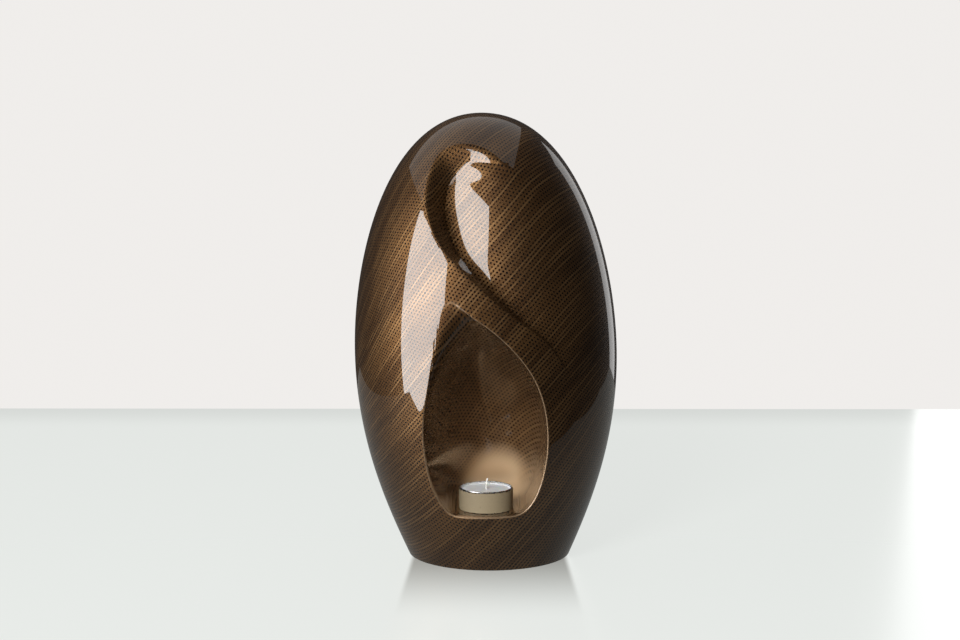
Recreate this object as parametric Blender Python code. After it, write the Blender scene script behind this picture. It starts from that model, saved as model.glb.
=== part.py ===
"""Cremation urn: a leaning egg-shaped vessel, cast in one piece and hollow, with a swirl scoop in its
front, a candle niche below it, a bung in its underside and a tealight candle standing in the niche.

The front of the urn looks along -Y. The origin is on the ground, under the middle of the belly.
"""
import math

import bmesh
import bpy
import numpy as np
from mathutils import Vector
from mathutils.geometry import delaunay_2d_cdt

# Vessel, in metres
HEIGHT = 0.328
BELLY_RADIUS = 0.097
BELLY_HEIGHT = 0.1515
FOOT_RADIUS = 0.060
FOOT_FLARE = math.radians(24.3)
WALL = 0.005
LEAN = -0.0174               # sideways drift of the axis for each metre of height

# Fullness of the outline, as shares of the stretch that each handle bends
FOOT_FULLNESS = 0.295
LOWER_BELLY_FULLNESS = 0.394
UPPER_BELLY_FULLNESS = 0.403
CROWN_FULLNESS = 0.716

# Underside, in metres
FOOT_RING_WIDTH = 0.010
RECESS_DEPTH = 0.004
BASE_THICKNESS = 0.006
FILL_HOLE_RADIUS = 0.020     # the hole lies towards the back, under the deep part of the hollow

# Swirl scoop: stations along its lip, each with lip x, z, valley x, z and far edge x, z as shares of
# the belly radius and of the height, and the valley's depth behind the egg as a share of the radius
SWIRL = [
    (0.167, 0.899, 0.167, 0.899, 0.167, 0.899, 0.000),
    (0.110, 0.916, 0.043, 0.902, 0.268, 0.881, 0.046),
    (-0.057, 0.943, -0.104, 0.898, 0.406, 0.853, 0.105),
    (-0.249, 0.939, -0.186, 0.876, 0.506, 0.812, 0.165),
    (-0.383, 0.890, -0.267, 0.832, 0.584, 0.762, 0.222),
    (-0.425, 0.828, -0.276, 0.782, 0.647, 0.706, 0.242),
    (-0.368, 0.759, -0.223, 0.728, 0.703, 0.643, 0.227),
    (-0.214, 0.696, -0.098, 0.675, 0.745, 0.588, 0.191),
    (0.013, 0.631, 0.088, 0.621, 0.773, 0.533, 0.139),
    (0.248, 0.571, 0.292, 0.566, 0.759, 0.493, 0.082),
    (0.449, 0.521, 0.472, 0.518, 0.715, 0.462, 0.036),
    (0.631, 0.440, 0.631, 0.440, 0.631, 0.440, 0.000),
]
SWIRL_LIP_RADIUS = 0.0035
SWIRL_FLOOR_LIFT = 0.35      # how late the scoop's floor starts to rise from its valley
SWIRL_LIP_CROWDING = 1.3     # draws the wall's rows towards the rounded lip

# Candle niche: its outline from the tip round the right, the sill and the left, back to the tip, with
# x and z as shares of the belly radius and of the height, and the squareness of its hollow there
NICHE = [
    (-0.235, 0.617, 1.7),
    (-0.105, 0.588, 1.7),
    (0.037, 0.559, 1.7),
    (0.180, 0.521, 1.8),
    (0.308, 0.474, 2.0),
    (0.400, 0.419, 2.4),
    (0.449, 0.355, 2.8),
    (0.457, 0.295, 3.0),
    (0.425, 0.228, 3.4),
    (0.355, 0.170, 5.0),
    (0.270, 0.1405, 8.0),
    (0.140, 0.1300, 12.0),
    (-0.024, 0.1285, 12.0),
    (-0.200, 0.1290, 12.0),
    (-0.315, 0.1420, 8.0),
    (-0.391, 0.179, 5.0),
    (-0.446, 0.230, 3.4),
    (-0.473, 0.290, 2.8),
    (-0.474, 0.343, 2.5),
    (-0.448, 0.395, 2.2),
    (-0.410, 0.456, 2.0),
    (-0.372, 0.521, 1.8),
    (-0.337, 0.575, 1.7),
    (-0.296, 0.606, 1.7),
    (-0.235, 0.617, 1.7),
]
NICHE_CENTRE = (0.030, 0.270)
NICHE_BACK = 0.025           # y of the hollow's deepest point
NICHE_LIP_RADIUS = 0.0015
SILL_RISE = 0.0008           # the flat floor above the sill's rounded lip
SOFT_EDGE_START = 0.790      # the soft left edge begins at this share of the outline
SOFT_EDGE_SLOPE = 3.5        # how steeply the surface dives at most
SOFT_EDGE_ROLL = 0.003       # how softly it turns down where the soft edge starts
SOFT_EDGE_FOOT = 0.433       # that place, as a share of the height
SOFT_EDGE_GROWTH = 25.3      # growth of the softness from there, over the whole height
DEPTH_BLEND = 4.0            # how sharply the niche's hollow and its soft edge meet

# Bung in the fill hole
BUNG_CLEARANCE = 0.0005
BUNG_FLANGE_OVERLAP = 0.004
BUNG_FLANGE_MARGIN = 0.004   # between the flange and the foot ring
BUNG_FLANGE_THICKNESS = 0.0025
BUNG_TAPER = 0.0008

# Tealight
CUP_RADIUS = 0.0190
CUP_HEIGHT = 0.0155
CUP_WALL = 0.0004
SLEEVE_THICKNESS = 0.00045
RIM_ABOVE_SLEEVE = 0.001
WAX_BELOW_RIM = 0.0012
WICK_RADIUS = 0.0007
WICK_HEIGHT = 0.0075
WICK_SOCKET = 0.004
WICK_BEND = 0.0012
TEALIGHT_SETBACK = 0.0070    # from the sill's edge to the sleeve
TEALIGHT_X = -0.0016         # beside the vessel's axis
GAP = 0.0003                 # between pieces that touch

# Facets
EGG_SPACING = 0.0115
SWIRL_STATIONS = 48
SWIRL_WALL_ROWS = 3
SWIRL_FLOOR_ROWS = 7
NICHE_STATIONS = 56
NICHE_LIP_ROWS = 2
NICHE_DEEP_ROWS = 9
BASE_SEGMENTS = 48
FRONT_CROWDING = 0.45
CAVITY_RINGS_BELOW = 3
CAVITY_RINGS_ABOVE = 28
CAVITY_CLEARANCE = 0.006     # sideways room left between the hollow and steep carved walls
WALL_SAMPLING = 4            # how many times finer the carving is read when the hollow keeps behind it
TEALIGHT_SEGMENTS = 32
BUNG_SEGMENTS = 32
WICK_SEGMENTS = 8
WICK_RINGS = 5
OUTLINE_SAMPLES = 600
EDGE_CLEARANCE = 0.6         # share of the spacing that stays free beside a carved edge
SHARP_ANGLE = math.radians(40)


def bezier(p0, p1, p2, p3):
    """Points along a cubic curve, with its four handles given as (radius, height)."""
    t = np.linspace(0.0, 1.0, OUTLINE_SAMPLES)[:, None]
    p0, p1, p2, p3 = (np.array(p) for p in (p0, p1, p2, p3))
    return (1 - t) ** 3 * p0 + 3 * (1 - t) ** 2 * t * p1 + 3 * (1 - t) * t ** 2 * p2 + t ** 3 * p3


def egg_outline():
    """The vessel's outline from its foot to its crown, as (radius, height)."""
    foot_reach = FOOT_FULLNESS * BELLY_HEIGHT
    upper = HEIGHT - BELLY_HEIGHT
    below = bezier(
        (FOOT_RADIUS, 0.0),
        (FOOT_RADIUS + foot_reach * math.tan(FOOT_FLARE), foot_reach),
        (BELLY_RADIUS, BELLY_HEIGHT * (1 - LOWER_BELLY_FULLNESS)),
        (BELLY_RADIUS, BELLY_HEIGHT),
    )
    above = bezier(
        (BELLY_RADIUS, BELLY_HEIGHT),
        (BELLY_RADIUS, BELLY_HEIGHT + upper * UPPER_BELLY_FULLNESS),
        (BELLY_RADIUS * CROWN_FULLNESS, HEIGHT),
        (0.0, HEIGHT),
    )
    return np.vstack([below, above[1:]])


def spline_through(rows, count):
    """Evenly spaced rows on a natural cubic spline through the given ones. The first two columns are
    the plane position that spaces them."""
    rows = np.array(rows, dtype=float)
    knots = np.concatenate([[0.0], np.cumsum(np.hypot(*np.diff(rows[:, :2], axis=0).T))])
    step = np.diff(knots)
    slope = np.diff(rows, axis=0) / step[:, None]
    system = np.eye(len(rows))
    right = np.zeros_like(rows)
    for i in range(1, len(rows) - 1):
        system[i, i - 1:i + 2] = step[i - 1], 2 * (step[i - 1] + step[i]), step[i]
        right[i] = 6 * (slope[i] - slope[i - 1])
    bend = np.linalg.solve(system, right)
    places = np.linspace(0.0, knots[-1], count)
    span = np.clip(np.searchsorted(knots, places, side="right") - 1, 0, len(step) - 1)
    a = (places - knots[span])[:, None]
    b = (knots[span + 1] - places)[:, None]
    h = step[span][:, None]
    return (
        (bend[span] * b ** 3 + bend[span + 1] * a ** 3) / (6 * h)
        + (rows[span] / h - bend[span] * h / 6) * b
        + (rows[span + 1] / h - bend[span + 1] * h / 6) * a
    )


class Egg:
    """The plain egg before carving, upright, and its flat conformal map."""

    def __init__(self):
        self.outline = egg_outline()
        steps = np.hypot(*np.diff(self.outline, axis=0).T)
        self.arc = np.concatenate([[0.0], np.cumsum(steps)])
        middle = (self.outline[1:, 0] + self.outline[:-1, 0]) / 2
        self.map_log = -np.concatenate([[0.0], np.cumsum(steps / middle)])

    def radius(self, z):
        return np.interp(z, self.outline[:, 1], self.outline[:, 0])

    def front(self, x, z):
        """y of the egg's front surface."""
        return -np.sqrt(np.maximum(self.radius(z) ** 2 - x ** 2, 0.0))

    def flat(self, x, y, z):
        """Place of a surface point on the conformal map, with the crown at its middle."""
        reach = np.exp(np.interp(z, self.outline[:, 1], self.map_log))
        angle = np.arctan2(y, x)
        return np.stack([reach * np.cos(angle), reach * np.sin(angle)], axis=-1)

    def points(self, spacing):
        """Staggered rings of points over the egg, with one ring on the belly and the last on the foot."""
        belly = np.interp(BELLY_HEIGHT, self.outline[:, 1], self.arc)
        pitch = spacing * math.sqrt(3) / 2
        above = int((self.arc[-1] - belly) / pitch)
        below = int(belly / pitch)
        places = [belly + (self.arc[-1] - belly) * k / above for k in range(above)]
        places += [belly * k / below for k in range(1, below)]
        rings = []
        for number, place in enumerate(places):
            r = np.interp(place, self.arc, self.outline[:, 0])
            z = np.interp(place, self.arc, self.outline[:, 1])
            count = 4 * max(2, round(2 * math.pi * r / spacing / 4))
            turn = (np.arange(count) + 0.5 * (number % 2)) * 2 * math.pi / count
            rings.append(np.stack([r * np.cos(turn), r * np.sin(turn), np.full(count, z)], axis=1))
        turn = base_turns()
        foot = np.stack([FOOT_RADIUS * np.cos(turn), FOOT_RADIUS * np.sin(turn), 0.0 * turn], axis=1)
        return np.vstack(rings + [[[0.0, 0.0, HEIGHT]]]), foot


def inside(points, loop):
    """Which plane points lie within a closed loop."""
    x, y = points[:, :1], points[:, 1:]
    ax, ay = loop.T
    bx, by = np.roll(loop, -1, axis=0).T
    straddles = (ay > y) != (by > y)
    rise = np.where(by == ay, 1.0, by - ay)
    crossing = (bx - ax) * (y - ay) / rise + ax
    return (straddles & (x < crossing)).sum(axis=1) % 2 == 1


def swirl_surface(egg, stations, wall_rows, floor_rows):
    """Grid of the scoop, station by station, each from the lip over the valley to the far edge."""
    rows = spline_through(SWIRL, stations)
    lip, valley, far = (rows[:, k:k + 2] * (BELLY_RADIUS, HEIGHT) for k in (0, 2, 4))
    depth = np.maximum(rows[:, 6] * BELLY_RADIUS, 0.0)
    width = np.maximum(np.hypot(*(valley - lip).T), 1e-6)
    roll = np.clip(SWIRL_LIP_RADIUS / width, 0.0, 1.5)
    grid = []
    for t in np.linspace(0.0, 1.0, wall_rows + 1)[:-1]:
        share = t ** SWIRL_LIP_CROWDING
        drop = (np.hypot(share, roll) - roll) / (np.hypot(1.0, roll) - roll)
        grid.append(np.column_stack([lip + (valley - lip) * share, depth * drop]))
    for t in np.linspace(0.0, 1.0, floor_rows + 1):
        drop = (1 - t) ** 2 * (1 + SWIRL_FLOOR_LIFT * t)
        grid.append(np.column_stack([valley + (far - valley) * t, depth * drop]))
    grid = np.array(grid).transpose(1, 0, 2)
    x, z, sunk = grid[..., 0], grid[..., 1], grid[..., 2]
    return np.stack([x, egg.front(x, z) + sunk, z], axis=-1)


def niche_floor():
    """Height of the niche's flat floor."""
    sill = min(z for _, z, _ in NICHE) * HEIGHT
    return sill + NICHE_LIP_RADIUS + SILL_RISE


def soft_edge_depth(x, z, edge):
    """Depth that the soft left edge allows, from how far a point lies inside it."""
    reach = np.full(x.shape, np.inf)
    for ex, ez in edge:
        reach = np.minimum(reach, np.hypot(x - ex, z - ez))
    roll = SOFT_EDGE_ROLL * np.exp(SOFT_EDGE_GROWTH * (z / HEIGHT - SOFT_EDGE_FOOT))
    return SOFT_EDGE_SLOPE * (np.hypot(reach, roll) - roll)


def niche_surface(egg, around, lip_rows, deep_rows):
    """Grid of the niche, from its outline inwards, and the deepest point in its middle."""
    rows = spline_through(NICHE, around + 1)[:-1]
    edge = spline_through(NICHE, OUTLINE_SAMPLES)[int(SOFT_EDGE_START * OUTLINE_SAMPLES)::3, :2]
    edge = edge * (BELLY_RADIUS, HEIGHT)
    outline = rows[:, :2] * (BELLY_RADIUS, HEIGHT)
    squareness = rows[:, 2]
    centre = np.array(NICHE_CENTRE) * (BELLY_RADIUS, HEIGHT)
    reach = np.hypot(*(outline - centre).T)
    rings = []
    for t in np.linspace(0.0, 1.0, lip_rows + 1):
        turn = t * math.pi / 2
        share = 1 - NICHE_LIP_RADIUS * math.sin(turn) / reach
        place = centre + (outline - centre) * share[:, None]
        rings.append(np.column_stack([place, np.full(around, NICHE_LIP_RADIUS * (1 - math.cos(turn)))]))
    for turn in np.linspace(0.0, math.pi / 2, deep_rows + 1)[1:-1]:
        c, s = math.cos(turn), math.sin(turn)
        bulge = (c ** squareness + s ** squareness) ** (-1 / squareness)
        share = (1 - NICHE_LIP_RADIUS / reach) * c * bulge
        place = centre + (outline - centre) * share[:, None]
        full = NICHE_BACK - egg.front(place[:, 0], place[:, 1])
        sunk = NICHE_LIP_RADIUS + (full - NICHE_LIP_RADIUS) * s * bulge
        rings.append(np.column_stack([place, sunk]))
    rings.append(np.tile([*centre, NICHE_BACK - egg.front(*centre)], (around, 1)))
    grid = np.array(rings)
    x, z, sunk = grid[..., 0], grid[..., 1], grid[..., 2]
    y = egg.front(x, z) + softer_minimum(sunk, soft_edge_depth(x, z, edge))
    z = np.where(np.arange(len(grid))[:, None] >= lip_rows, np.maximum(z, niche_floor()), z)
    surface = np.stack([x, y, z], axis=-1)
    return surface[:-1], surface[-1, 0]


def softer_minimum(a, b):
    """The smaller of two depths, rounded where they are alike, and zero where either is."""
    least = np.minimum(a, b)
    ratio = least / np.maximum(np.maximum(a, b), 1e-9)
    return least * (1 + ratio ** DEPTH_BLEND) ** (-1 / DEPTH_BLEND)


def cavity_rings(egg, carved):
    """Rings of the hollow's wall, a wall's thickness inside the egg and behind everything carved."""
    normal = np.gradient(egg.outline, axis=0)
    normal = np.stack([normal[:, 1], -normal[:, 0]], axis=1)
    normal /= np.hypot(*normal.T)[:, None]
    inner = egg.outline - WALL * normal
    floor = RECESS_DEPTH + BASE_THICKNESS
    shelf = niche_floor() - WALL
    arc = np.concatenate([[0.0], np.cumsum(np.hypot(*np.diff(inner, axis=0).T))])
    shelf_arc = np.interp(shelf, inner[:, 1], arc)
    low = np.interp(floor, inner[:, 1], arc)
    places = list(np.linspace(low, shelf_arc, CAVITY_RINGS_BELOW))
    places += list(np.linspace(shelf_arc + WALL / 10, arc[-1], CAVITY_RINGS_ABOVE + 1)[:-1])
    turn = base_turns()
    rings = []
    for number, place in enumerate(places):
        r = np.interp(place, arc, inner[:, 0])
        z = np.interp(place, arc, inner[:, 1])
        ring = np.stack([r * np.cos(turn), r * np.sin(turn), np.full(BASE_SEGMENTS, z)], axis=1)
        if number >= CAVITY_RINGS_BELOW:
            ring[:, 1] = np.maximum(ring[:, 1], behind(ring, carved))
        rings.append(ring)
    return rings, np.array([0.0, 0.0, HEIGHT - WALL])


def behind(points, carved):
    """y a wall's thickness behind the carved surface, at and beside each point's x and z."""
    result = np.full(len(points), -np.inf)
    for number, (x, _, z) in enumerate(points):
        aside = np.maximum(np.hypot(carved[:, 0] - x, carved[:, 2] - z) - CAVITY_CLEARANCE, 0.0)
        hit = aside < WALL
        if hit.any():
            result[number] = np.max(carved[hit, 1] + np.sqrt(WALL ** 2 - aside[hit] ** 2))
    return result


def base_turns():
    """Angles of the points in each ring of the underside and the hollow, closer together in front."""
    share = np.arange(BASE_SEGMENTS) * 2 * math.pi / BASE_SEGMENTS
    return share - FRONT_CROWDING * np.sin(share) - math.pi / 2


def link_rows(bm, first, second, closed):
    """Faces between two rows of vertices. Vertices that the rows share give triangles."""
    count = len(first)
    for i in range(count if closed else count - 1):
        j = (i + 1) % count
        corners = []
        for vertex in (first[i], first[j], second[j], second[i]):
            if vertex not in corners:
                corners.append(vertex)
        if len(corners) > 2:
            bm.faces.new(corners)


def add_points(bm, points):
    return [bm.verts.new(Vector(p)) for p in points]


def link_to_point(bm, ring, point):
    for i, vertex in enumerate(ring):
        bm.faces.new((vertex, ring[(i + 1) % len(ring)], point))


def fill_hole_y():
    """y of the fill hole's middle, as far back as the bung's flange may go inside the foot ring."""
    flange = FILL_HOLE_RADIUS + BUNG_FLANGE_OVERLAP
    return FOOT_RADIUS - FOOT_RING_WIDTH - BUNG_FLANGE_MARGIN - flange


def add_egg(bm, egg, outlines):
    """The plain skin of the egg around the carved outlines. Gives the vertices of each outline and of
    the foot."""
    rings, foot = egg.points(EGG_SPACING)
    loops = [egg.flat(*outline.T) for outline in outlines]
    flat_rings = egg.flat(*rings.T)
    flat_rings[-1] = 0.0
    keep = np.ones(len(rings), dtype=bool)
    for outline, loop in zip(outlines, loops):
        distance = np.linalg.norm(rings[:, None] - outline[None], axis=2).min(axis=1)
        keep &= ~inside(flat_rings, loop) & (distance > EDGE_CLEARANCE * EGG_SPACING)
    flat = np.vstack(loops + [flat_rings[keep], egg.flat(*foot.T)])
    verts = add_points(bm, np.vstack(outlines + [rings[keep], foot]))
    edges = []
    found = []
    start = 0
    for loop in loops:
        edges += [(start + i, start + (i + 1) % len(loop)) for i in range(len(loop))]
        found.append(verts[start:start + len(loop)])
        start += len(loop)
    _, _, faces, origins, _, _ = delaunay_2d_cdt([Vector(p) for p in flat], edges, [], 0, 1e-9)
    corners = np.array([[origins[v][0] for v in face] for face in faces])
    middles = flat[corners].mean(axis=1)
    carved = inside(middles, loops[0]) | inside(middles, loops[1])
    for face in corners[~carved]:
        bm.faces.new([verts[v] for v in face])
    return found, verts[-len(foot):]


def add_swirl(bm, surface, edge):
    """The scoop's skin, which shares its two ends and both its long edges with the egg."""
    stations, across = surface.shape[:2]
    first, last = edge[0], edge[stations - 1]
    rows = [edge[:stations]]
    for k in range(1, across - 1):
        rows.append([first] + add_points(bm, surface[1:-1, k]) + [last])
    rows.append([first] + edge[:stations - 1:-1] + [last])
    for one, other in zip(rows, rows[1:]):
        link_rows(bm, one, other, False)


def add_niche(bm, surface, deepest, edge):
    """The niche's skin, from its outline on the egg to its deepest point."""
    rows = [edge] + [add_points(bm, ring) for ring in surface[1:]]
    for one, other in zip(rows, rows[1:]):
        link_rows(bm, one, other, True)
    link_to_point(bm, rows[-1], bm.verts.new(Vector(deepest)))


def add_inside(bm, egg, foot):
    """The foot ring, the recess, the fill hole and the hollow's wall, from the foot inwards."""
    carved = np.vstack([
        swirl_surface(egg, WALL_SAMPLING * SWIRL_STATIONS, WALL_SAMPLING * SWIRL_WALL_ROWS,
                      WALL_SAMPLING * SWIRL_FLOOR_ROWS).reshape(-1, 3),
        niche_surface(egg, WALL_SAMPLING * NICHE_STATIONS, WALL_SAMPLING * NICHE_LIP_ROWS,
                      WALL_SAMPLING * NICHE_DEEP_ROWS)[0].reshape(-1, 3),
    ])
    cavity, top = cavity_rings(egg, carved)
    turn = base_turns()
    recess_radius = FOOT_RADIUS - FOOT_RING_WIDTH
    steps = [
        (recess_radius, 0.0, 0.0),
        (recess_radius, 0.0, RECESS_DEPTH),
        (FILL_HOLE_RADIUS, fill_hole_y(), RECESS_DEPTH),
        (FILL_HOLE_RADIUS, fill_hole_y(), RECESS_DEPTH + BASE_THICKNESS),
    ]
    rows = [foot]
    for r, y, z in steps:
        ring = np.stack([r * np.cos(turn), y + r * np.sin(turn), np.full(BASE_SEGMENTS, z)], axis=1)
        rows.append(add_points(bm, ring))
    rows += [add_points(bm, ring) for ring in cavity]
    for one, other in zip(rows, rows[1:]):
        link_rows(bm, one, other, True)
    link_to_point(bm, rows[-1], bm.verts.new(Vector(top)))


def urn_body_mesh():
    """The whole vessel as one closed skin: carved outside, underside, fill hole and hollow."""
    egg = Egg()
    swirl = swirl_surface(egg, SWIRL_STATIONS, SWIRL_WALL_ROWS, SWIRL_FLOOR_ROWS)
    niche, deepest = niche_surface(egg, NICHE_STATIONS, NICHE_LIP_ROWS, NICHE_DEEP_ROWS)
    swirl_outline = np.vstack([swirl[:, 0], swirl[-2:0:-1, -1]])
    bm = bmesh.new()
    (swirl_edge, niche_edge), foot = add_egg(bm, egg, [swirl_outline, niche[0]])
    add_swirl(bm, swirl, swirl_edge)
    add_niche(bm, niche, deepest, niche_edge)
    add_inside(bm, egg, foot)
    for vertex in bm.verts:
        vertex.co.x += axis_x(vertex.co.z)
    bmesh.ops.recalc_face_normals(bm, faces=bm.faces)
    mesh = bpy.data.meshes.new("urn_body")
    bm.to_mesh(mesh)
    bm.free()
    return mesh


def turned_mesh(name, outline, segments, closed=False):
    """A turned solid from its outline, given as (radius, height), about its own axis."""
    bm = bmesh.new()
    verts = [bm.verts.new((r, 0.0, z)) for r, z in outline]
    edges = [bm.edges.new(pair) for pair in zip(verts, verts[1:])]
    if closed:
        edges.append(bm.edges.new((verts[-1], verts[0])))
    bmesh.ops.spin(bm, geom=verts + edges, cent=(0, 0, 0), axis=(0, 0, 1), angle=2 * math.pi,
                   steps=segments, use_merge=True)
    bmesh.ops.remove_doubles(bm, verts=bm.verts, dist=1e-6)
    bmesh.ops.recalc_face_normals(bm, faces=bm.faces)
    mesh = bpy.data.meshes.new(name)
    bm.to_mesh(mesh)
    bm.free()
    return mesh


def material(name, colour, roughness, metallic):
    result = bpy.data.materials.new(name)
    result.use_nodes = True
    shader = result.node_tree.nodes["Principled BSDF"]
    shader.inputs["Base Color"].default_value = (*colour, 1.0)
    shader.inputs["Roughness"].default_value = roughness
    shader.inputs["Metallic"].default_value = metallic
    return result


def add_piece(mesh, finish, location=(0.0, 0.0, 0.0)):
    mesh.materials.append(finish)
    mesh.shade_smooth()
    mesh.set_sharp_from_angle(angle=SHARP_ANGLE)
    piece = bpy.data.objects.new(mesh.name, mesh)
    piece.location = location
    bpy.context.scene.collection.objects.link(piece)
    return piece


def axis_x(z):
    """x of the leaning axis at a height."""
    return LEAN * (z - BELLY_HEIGHT)


def add_bung():
    """The stepped bung, its flange under the recess and its plug in the fill hole."""
    face = RECESS_DEPTH - GAP
    flange = FILL_HOLE_RADIUS + BUNG_FLANGE_OVERLAP
    plug = FILL_HOLE_RADIUS - BUNG_CLEARANCE
    top = RECESS_DEPTH + BASE_THICKNESS
    outline = [
        (0.0, face - BUNG_FLANGE_THICKNESS),
        (flange, face - BUNG_FLANGE_THICKNESS),
        (flange, face),
        (plug, face),
        (plug - BUNG_TAPER, top),
        (0.0, top),
    ]
    finish = material("black_rubber", (0.03, 0.03, 0.03), 0.7, 0.0)
    add_piece(turned_mesh("base_stopper", outline, BUNG_SEGMENTS), finish,
              (axis_x(RECESS_DEPTH), fill_hole_y(), 0.0))


def add_tealight():
    """The candle on the niche's floor: cup, sleeve, wax and wick."""
    sleeve_inner = CUP_RADIUS + GAP
    sleeve_outer = sleeve_inner + SLEEVE_THICKNESS
    sill = min(NICHE, key=lambda row: row[1])
    sill_edge = Egg().front(sill[0] * BELLY_RADIUS, sill[1] * HEIGHT)
    floor = niche_floor()
    place = (TEALIGHT_X + axis_x(floor), sill_edge + TEALIGHT_SETBACK + sleeve_outer, floor + GAP)

    cup_inner = CUP_RADIUS - CUP_WALL
    cup = [(0, 0), (CUP_RADIUS, 0), (CUP_RADIUS, CUP_HEIGHT), (cup_inner, CUP_HEIGHT), (cup_inner, CUP_WALL),
           (0, CUP_WALL)]
    add_piece(turned_mesh("tealight_cup", cup, TEALIGHT_SEGMENTS),
              material("bare_aluminium", (0.80, 0.80, 0.80), 0.3, 1.0), place)

    sleeve_top = CUP_HEIGHT - RIM_ABOVE_SLEEVE
    sleeve = [(sleeve_inner, 0), (sleeve_outer, 0), (sleeve_outer, sleeve_top), (sleeve_inner, sleeve_top)]
    add_piece(turned_mesh("tealight_sleeve", sleeve, TEALIGHT_SEGMENTS, closed=True),
              material("plain_card", (0.45, 0.38, 0.24), 0.8, 0.0), place)

    wax_radius = cup_inner - GAP
    wax_bottom = CUP_WALL + GAP
    wax_top = CUP_HEIGHT - WAX_BELOW_RIM
    socket = WICK_RADIUS + GAP
    wax = [(0, wax_bottom), (wax_radius, wax_bottom), (wax_radius, wax_top), (socket, wax_top),
           (socket, wax_top - WICK_SOCKET), (0, wax_top - WICK_SOCKET)]
    add_piece(turned_mesh("tealight_wax", wax, TEALIGHT_SEGMENTS),
              material("white_wax", (0.75, 0.76, 0.74), 0.5, 0.0), place)

    foot = wax_top - WICK_SOCKET + GAP
    tip = wax_top + WICK_HEIGHT
    side = [(WICK_RADIUS, foot + (tip - foot) * k / (WICK_RINGS - 1)) for k in range(WICK_RINGS)]
    wick = turned_mesh("tealight_wick", [(0, foot)] + side + [(0, tip)], WICK_SEGMENTS)
    for vertex in wick.vertices:
        rise = max(vertex.co.z - wax_top, 0.0) / WICK_HEIGHT
        vertex.co.x += WICK_BEND * rise ** 2
    add_piece(wick, material("waxed_cotton", (0.80, 0.78, 0.70), 0.8, 0.0), place)


def main():
    for old in list(bpy.data.objects):
        bpy.data.objects.remove(old, do_unlink=True)
    add_piece(urn_body_mesh(), material("bronze_glaze", (0.10, 0.055, 0.025), 0.12, 0.0))
    add_bung()
    add_tealight()


main()
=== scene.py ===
"""Looks of the cremation urn: its finely modelled body with the printed bronze finish under gloss
lacquer, the candle in its niche, the bung under its foot, the studio around it and the camera.

The front of the urn looks along -Y. The vessel's shape follows the same values as its solid, at a
finer spacing. Lengths are in metres, except in the printed pattern, which counts in millimetres.
"""

import math

import bmesh
import bpy
import numpy as np
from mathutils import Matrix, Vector, kdtree
from mathutils.geometry import delaunay_2d_cdt


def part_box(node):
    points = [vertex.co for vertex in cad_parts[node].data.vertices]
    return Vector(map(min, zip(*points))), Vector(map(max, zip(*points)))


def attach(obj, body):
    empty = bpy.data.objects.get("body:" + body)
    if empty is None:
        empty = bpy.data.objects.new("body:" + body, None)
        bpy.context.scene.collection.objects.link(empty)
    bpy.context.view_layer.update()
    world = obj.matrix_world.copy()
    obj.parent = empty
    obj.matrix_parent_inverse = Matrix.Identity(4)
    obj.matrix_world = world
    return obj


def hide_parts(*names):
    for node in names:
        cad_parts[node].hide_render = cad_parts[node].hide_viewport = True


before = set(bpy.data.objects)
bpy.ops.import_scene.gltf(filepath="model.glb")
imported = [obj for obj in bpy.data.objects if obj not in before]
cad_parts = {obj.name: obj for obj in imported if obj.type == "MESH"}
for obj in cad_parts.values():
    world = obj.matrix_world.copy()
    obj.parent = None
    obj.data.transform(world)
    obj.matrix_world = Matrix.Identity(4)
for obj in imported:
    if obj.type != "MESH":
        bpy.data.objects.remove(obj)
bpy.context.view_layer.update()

BODY = "root"

# Vessel
HEIGHT = 0.328
BELLY_RADIUS = 0.097
BELLY_HEIGHT = 0.1515
FOOT_RADIUS = 0.060
FOOT_FLARE = math.radians(24.3)
WALL = 0.005
LEAN = -0.0174
FOOT_FULLNESS = 0.295
LOWER_BELLY_FULLNESS = 0.394
UPPER_BELLY_FULLNESS = 0.403
CROWN_FULLNESS = 0.716

# Underside
FOOT_RING_WIDTH = 0.010
FOOT_EDGE = 0.0007           # rounding of the foot ring's edges
RECESS_DEPTH = 0.004
BASE_THICKNESS = 0.006
FILL_HOLE_RADIUS = 0.020

# Swirl scoop: lip x, z, valley x, z, far edge x, z and the valley's depth, as shares
SWIRL = [
    (0.167, 0.899, 0.167, 0.899, 0.167, 0.899, 0.000),
    (0.110, 0.916, 0.043, 0.902, 0.268, 0.881, 0.046),
    (-0.057, 0.943, -0.104, 0.898, 0.406, 0.853, 0.105),
    (-0.249, 0.939, -0.186, 0.876, 0.506, 0.812, 0.165),
    (-0.383, 0.890, -0.267, 0.832, 0.584, 0.762, 0.222),
    (-0.425, 0.828, -0.276, 0.782, 0.647, 0.706, 0.242),
    (-0.368, 0.759, -0.223, 0.728, 0.703, 0.643, 0.227),
    (-0.214, 0.696, -0.098, 0.675, 0.745, 0.588, 0.191),
    (0.013, 0.631, 0.088, 0.621, 0.773, 0.533, 0.139),
    (0.248, 0.571, 0.292, 0.566, 0.759, 0.493, 0.082),
    (0.449, 0.521, 0.472, 0.518, 0.715, 0.462, 0.036),
    (0.631, 0.440, 0.631, 0.440, 0.631, 0.440, 0.000),
]
SWIRL_LIP_RADIUS = 0.0035
SWIRL_FLOOR_LIFT = 0.35
SWIRL_LIP_CROWDING = 1.3

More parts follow.
